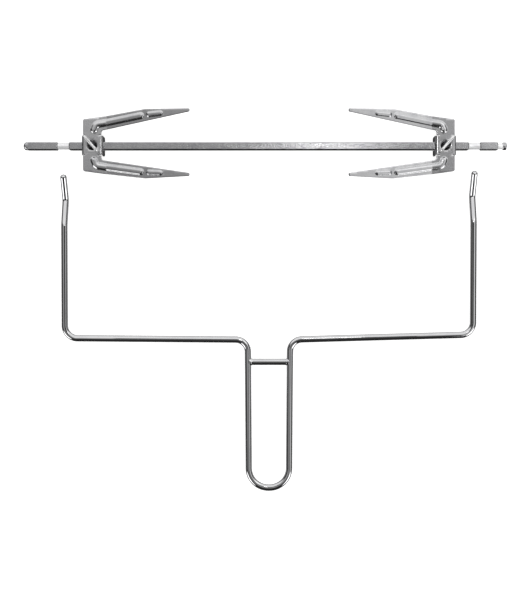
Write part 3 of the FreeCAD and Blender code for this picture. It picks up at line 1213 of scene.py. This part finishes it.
@dataclass
class LiftingHandle:
    """The wire handle: two arms with V cradles, two shoulders, a grip loop and a welded crossbar.

    Distances along the handle are measured from the end of the grip, with the handle drawn flat. It
    is then tilted until the grip's end and the cradles rest on the table.
    """

    radius: float = 2.5  # of the wire
    skew: float = 1.4  # the right arm is bent this much further forward, the left arm less
    tip: Pair = (247.4, 3.4)  # distance and height
    cradle: Pair = (228.5, -6.3)  # the V's distance and depth, before rounding
    dip: float = 208.4  # where the arm starts to dip
    corner: float = 119.6  # where the arm turns inwards
    shoulder: float = 117.0  # where the shoulder turns into the grip
    shoulder_half_span: float = 16.65  # half the distance between the grip's legs
    grip_half_span: float = 15.8  # the same at the grip's end
    crossbar: float = 99.5
    rounds: tuple[float, ...] = (5.0, 12.0, 10.0, 9.5, 15.5)  # from the cradle to the grip's end
    end_round: float = 2.0  # of the cut ends
    weld: float = 0.34  # how far the crossbar's welds stand out
    weld_reach: float = 1.5  # along the crossbar
    sides: int = 40  # points round the wire

    def __post_init__(self) -> None:
        """Read the handle's place, and work out its tilt."""
        spot = Spot.of("lifter_wire")
        self.middle_x = spot.middle.x
        self.arm_half_span = (spot.high.x - spot.low.x) / 2.0 - self.radius
        self.grip_end_y = spot.low.y + self.radius
        corners = self.arm(-1)
        back = (corners[0] - corners[1]).normalized()
        ahead = (corners[2] - corners[1]).normalized()
        bend = self.rounds[0]
        centre = corners[1] + (back + ahead).normalized() * (bend / math.sin(back.angle(ahead) / 2.0))
        reach = math.hypot(centre.y, centre.z)
        self.tilt_degrees = math.degrees(math.asin(bend / reach) - math.atan2(centre.z, centre.y))

    def arm(self, sign: int) -> list[Vector]:
        """One arm's corners, from its tip to the grip's end, drawn flat from the grip's end.

        Args:
            sign: -1 for the left arm, 1 for the right one.

        Returns:
            The corners.
        """
        shift = sign * self.skew
        out = sign * self.arm_half_span
        return [
            Vector((out, self.tip[0] + shift, self.tip[1])),
            Vector((out, self.cradle[0] + shift, self.cradle[1])),
            Vector((out, self.dip + shift, 0.0)),
            Vector((out, self.corner + shift, 0.0)),
            Vector((sign * self.shoulder_half_span, self.shoulder, 0.0)),
            Vector((sign * self.grip_half_span, 0.0, 0.0)),
        ]

    def make(self, rings: Array, name: str, node: str) -> None:
        """Tilt flat rings on to the table, move them to the handle's place, and make them a piece.

        Args:
            rings: The rings, as ring, point and coordinate.
            name: The piece's name.
            node: The CAD node it stands for.
        """
        draft = Draft()
        draft.loft(turned(rings, self.tilt_degrees, "X") + [self.middle_x, self.grip_end_y, self.radius])
        draft.piece(name, node, "lifter", WIRE_CHROME)

    def build_wire(self) -> None:
        """Make the one long wire and dress it."""
        corners = self.arm(-1) + self.arm(1)[::-1]
        path = rounded_path(corners, [*self.rounds, *reversed(self.rounds)], 8.0, 0.35)
        caps = []
        for end, after in ((path[0], path[1]), (path[-1], path[-2])):
            ahead = (after - end).normalized()
            round_off = reversed(quarter_round(self.end_round, 10))
            caps.append([(end + ahead * inset, self.radius - narrow) for inset, narrow in round_off])
        ends = (path[0], path[-1])
        clear = self.end_round + 0.5
        run = [(point, self.radius) for point in path if min((point - end).length for end in ends) > clear]
        stations = caps[0] + run + caps[1][::-1]
        rings = sweep([point for point, _ in stations], [reach for _, reach in stations], self.sides)
        self.make(rings, "handle_wire", "lifter_wire")

    def build_crossbar(self) -> None:
        """Make the crossbar, with a small weld where it meets each leg of the grip."""
        share = self.crossbar / self.shoulder
        leg = self.grip_half_span + (self.shoulder_half_span - self.grip_half_span) * share
        surface = math.sqrt(self.radius**2 - 0.6**2)
        angles = round_angles(self.sides)
        end = np.linspace(0.8, 1.0, 16)
        rings = []
        for along in np.concatenate([-end[::-1], np.linspace(-0.75, 0.75, 11), end]) * (leg - 0.9):
            clear = max(leg - surface - abs(along), 0.0)
            swell = self.weld * max(0.0, 1.0 - clear / self.weld_reach) ** 2
            ripple = 1.0 + 0.25 * np.sin(7.0 * angles + 4.0 * along) * np.sin(3.0 * angles)
            reach = self.radius - 0.06 + swell * ripple
            rings.append(level_ring(reach, along, angles)[:, [2, 0, 1]] + [0.0, self.crossbar, 0.0])
        self.make(np.array(rings), "handle_crossbar", "lifter_crossbar")


# ---- The studio ----


@dataclass(frozen=True)
class SkyPatch:
    """A soft patch of light, far away in one direction."""

    towards: Triple  # direction to its middle
    inner_degrees: float  # from its middle to where it starts to fade
    outer_degrees: float  # to where it ends
    strength: float


@dataclass(frozen=True)
class Panel:
    """A light panel over the set, facing down."""

    name: str
    place: Triple  # its middle, in metres
    size: Pair  # along X and Y
    brightness: float
    mirrored: bool = True  # one that is not mirrored only lights the floor

    def build(self) -> None:
        """Hang the panel."""
        data = bpy.data.lights.new(self.name, "AREA")
        data.shape = "RECTANGLE"
        data.size, data.size_y = self.size
        data.energy = self.brightness * math.pi * self.size[0] * self.size[1]
        panel = placed(self.name, data)
        panel.location = self.place
        panel.visible_camera = False
        panel.visible_glossy = self.mirrored


@dataclass(frozen=True)
class StageSheet:
    """A level sheet of the studio, with a faint mottle."""

    name: str
    finish: str
    first: Pair  # one corner along X and Y, in metres
    last: Pair  # the corner across; the sheet faces down where its Y is below the first's
    level: float
    tones: Pair  # the two greys of its mottle
    mottle: Triple  # features per metre, octaves and seed
    shine: float
    unseen: tuple[str, ...]  # kinds of ray that pass through it
    glow: float = 0.0

    def build(self) -> None:
        """Lay the sheet."""
        (x0, y0), (x1, y1) = self.first, self.last
        corners = [(x, y, self.level) for x, y in ((x0, y0), (x1, y0), (x1, y1), (x0, y1))]
        mesh = bpy.data.meshes.new(self.name)
        mesh.from_pydata(corners, [], [(0, 1, 2, 3)])
        made, sheet, surface = blank_material(self.finish)
        scale, detail, seed = self.mottle
        mottle = sheet.span(sheet.noise((scale,) * 3, detail, seed), (0.3, 0.7))
        dark, pale = self.tones
        sheet.join(sheet.tint(mottle, (dark,) * 3, (pale,) * 3), surface.inputs["Base Color"])
        preset(surface, Roughness=0.9, Specular_IOR_Level=self.shine)
        preset(surface, Emission_Color=(1.0, 1.0, 1.0, 1.0), Emission_Strength=self.glow)
        mesh.materials.append(made)
        laid = placed(self.name, mesh)
        for rays in self.unseen:
            setattr(laid, f"visible_{rays}", False)


@dataclass
class Studio:
    """A pale floor, a soft surround, light panels, and a camera straight over the set."""

    camera_place: Triple = (0.0003, 0.0014, 0.826)  # in metres
    lens: float = 62.55  # on a 36 mm sensor
    floor: StageSheet = StageSheet(
        name="floor",
        finish="floor_pale",
        first=(-3.0, -3.0),
        last=(3.0, 3.0),
        level=0.0,
        tones=(0.48, 0.50),
        mottle=(6.0, 3.0, 1.0),
        shine=0.1,
        unseen=("glossy",),
        glow=0.80,
    )
    hood: StageSheet = StageSheet(
        name="camera_hood",
        finish="hood_black_cloth",
        first=(-0.19, 0.13),
        last=(0.19, -0.07),
        level=0.5,
        tones=(0.02, 0.03),
        mottle=(60.0, 2.0, 2.0),
        shine=0.05,
        unseen=("camera", "shadow", "diffuse"),
    )
    surround: float = 0.025  # brightness everywhere
    backdrop: float = 1.0  # what the camera sees past the floor
    patches: tuple[SkyPatch, ...] = (
        SkyPatch((-0.10, 0.10, 1.0), 10.0, 30.0, 0.27),
        SkyPatch((-0.57, 0.0, 0.82), 8.0, 20.0, 0.22),
        SkyPatch((0.0, 1.0, 0.35), 44.0, 66.0, 0.80),
        SkyPatch((-0.74, -0.62, 0.27), 15.0, 22.0, 1.90),
        SkyPatch((0.74, -0.62, 0.27), 15.0, 22.0, 1.90),
        SkyPatch((1.0, 0.1, -0.8), 20.0, 38.0, 0.26),
        SkyPatch((-1.0, 0.1, -0.8), 20.0, 38.0, 0.26),
    )
    panels: tuple[Panel, ...] = (
        Panel("floor_panel", (0.0, 0.0, 1.7), (2.6, 2.6), 1.7, mirrored=False),
        Panel("right_panel", (0.56, -0.05, 0.5), (0.56, 0.95), 0.58),
        Panel("glare_panel", (0.078, 0.197, 0.5), (0.080, 0.040), 4.8),
    )

    def build_camera(self) -> None:
        """Hang the camera over the set, with +Y up in its picture."""
        data = bpy.data.cameras.new("studio_camera")
        data.sensor_width = 36.0
        data.lens = self.lens
        camera = placed("studio_camera", data)
        camera.location = self.camera_place
        bpy.context.scene.camera = camera

    def build_surround(self) -> None:
        """Paint the soft surround that the metal reflects."""
        world = bpy.data.worlds.new("surround")
        world.use_nodes = True
        bpy.context.scene.world = world
        sheet = ShaderSheet(world.node_tree)
        background = world.node_tree.nodes["Background"]
        preset(background, Color=(1.0, 1.0, 1.0, 1.0))
        direction = sheet.node("ShaderNodeTexCoord").outputs["Generated"]
        total = None
        for patch in self.patches:
            towards = sheet.node("ShaderNodeVectorMath", operation="DOT_PRODUCT")
            sheet.join(direction, towards.inputs[0])
            towards.inputs[1].default_value = Vector(patch.towards).normalized()
            outer, inner = math.radians(patch.outer_degrees), math.radians(patch.inner_degrees)
            fade, strength = (math.cos(outer), math.cos(inner)), (0.0, patch.strength)
            glow = sheet.span(towards.outputs["Value"], fade, strength, interpolation_type="SMOOTHSTEP")
            add = sheet.node("ShaderNodeMath", operation="ADD")
            sheet.join(glow, add.inputs[0])
            add.inputs[1].default_value = self.surround
            if total is not None:
                sheet.join(total, add.inputs[1])
            total = add.outputs[0]
        seen = sheet.node("ShaderNodeLightPath").outputs["Is Camera Ray"]
        level = sheet.node("ShaderNodeMix", data_type="FLOAT")
        sheet.join(seen, level.inputs["Factor"])
        sheet.join(total, level.inputs["A"])
        preset(level, B=self.backdrop)
        sheet.join(level.outputs["Result"], background.inputs["Strength"])

    def build(self) -> None:
        """Set up the whole studio."""
        bpy.context.scene.view_settings.view_transform = "Standard"
        self.build_camera()
        self.floor.build()
        self.build_surround()
        self.hood.build()
        for panel in self.panels:
            panel.build()
        LOG.info("studio ready")


def main() -> None:
    """Load the frame, build every piece on its body, and set up the studio."""
    logging.basicConfig(level=logging.INFO, format="%(name)s: %(message)s", stream=sys.stdout)
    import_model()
    Studio().build()
    SpitRod().build()
    blade_angles = {Side.LEFT: -48.4, Side.RIGHT: 49.2}
    for side in Side:
        MeatFork(side).build()
        WeldNut(side).build()
        ThumbScrew(side, blade_angles[side]).build()
    handle = LiftingHandle()
    handle.build_wire()
    handle.build_crossbar()


if __name__ == "__main__":
    main()
